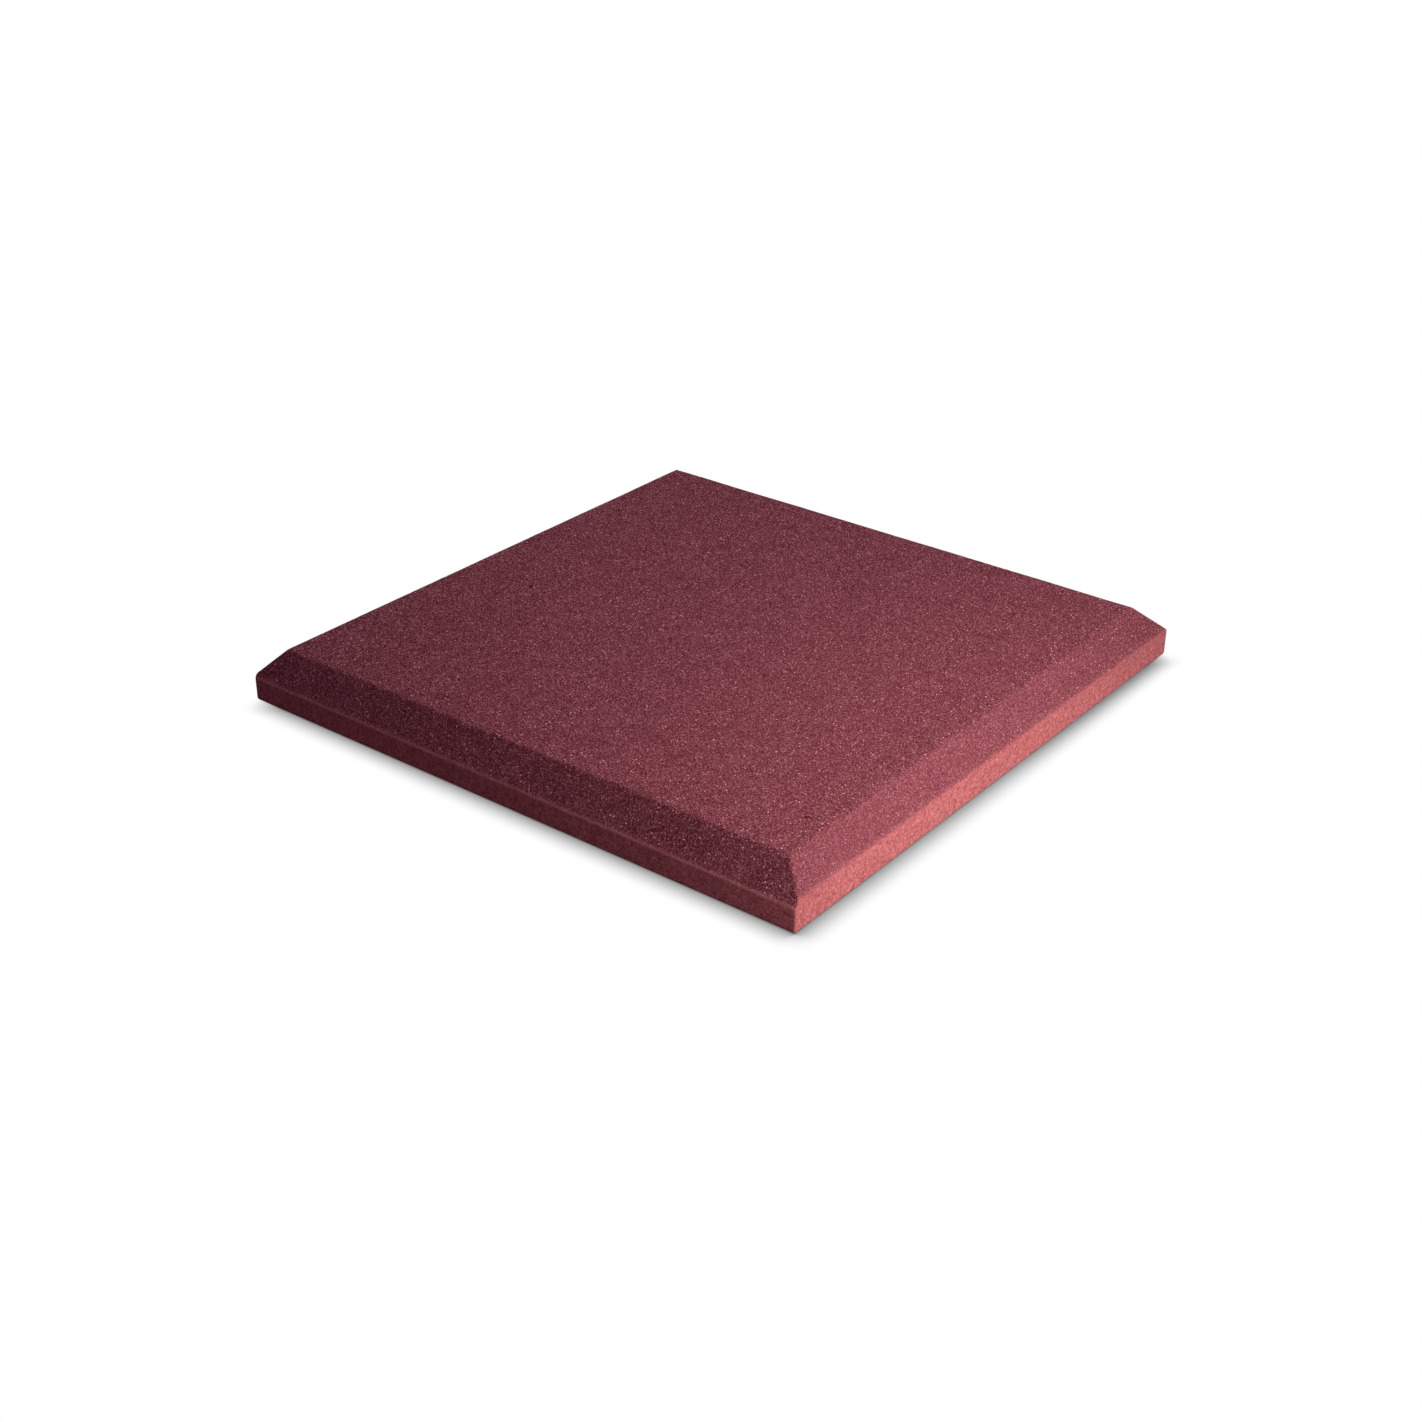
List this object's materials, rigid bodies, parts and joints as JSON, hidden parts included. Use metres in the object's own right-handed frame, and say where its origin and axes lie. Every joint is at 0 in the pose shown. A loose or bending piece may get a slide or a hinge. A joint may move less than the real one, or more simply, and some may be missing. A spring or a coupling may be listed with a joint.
{
  "type": "acoustic foam panel",
  "caption": "Square sound-absorbing panel of burgundy open-cell foam with bevelled edges, and peel-and-stick mounting tabs on its flat back.",
  "frame": {"origin": "under the middle of the panel, on the surface that its release liners rest on", "axes": "+Z out of the panel's face, +X and +Y along its sides, with the peeling ears of the liners towards +X"},
  "size_m": [0.6096, 0.6096, 0.0517],
  "materials": {
    "foam": "cut open-cell polyurethane foam, matt, dyed burgundy",
    "tab_foam_tape": "off-white double-sided closed-cell foam tape",
    "liner_paper": "silicone-coated release paper, satin"
  },
  "bodies": {
    "root": {"foam_panel": "foam", "mounting_tab_centre": "tab_foam_tape", "mounting_tab_front_left": "tab_foam_tape", "mounting_tab_front_right": "tab_foam_tape", "mounting_tab_back_left": "tab_foam_tape", "mounting_tab_back_right": "tab_foam_tape", "release_liner_centre": "liner_paper", "release_liner_front_left": "liner_paper", "release_liner_front_right": "liner_paper", "release_liner_back_left": "liner_paper", "release_liner_back_right": "liner_paper"}
  },
  "joints": []
}
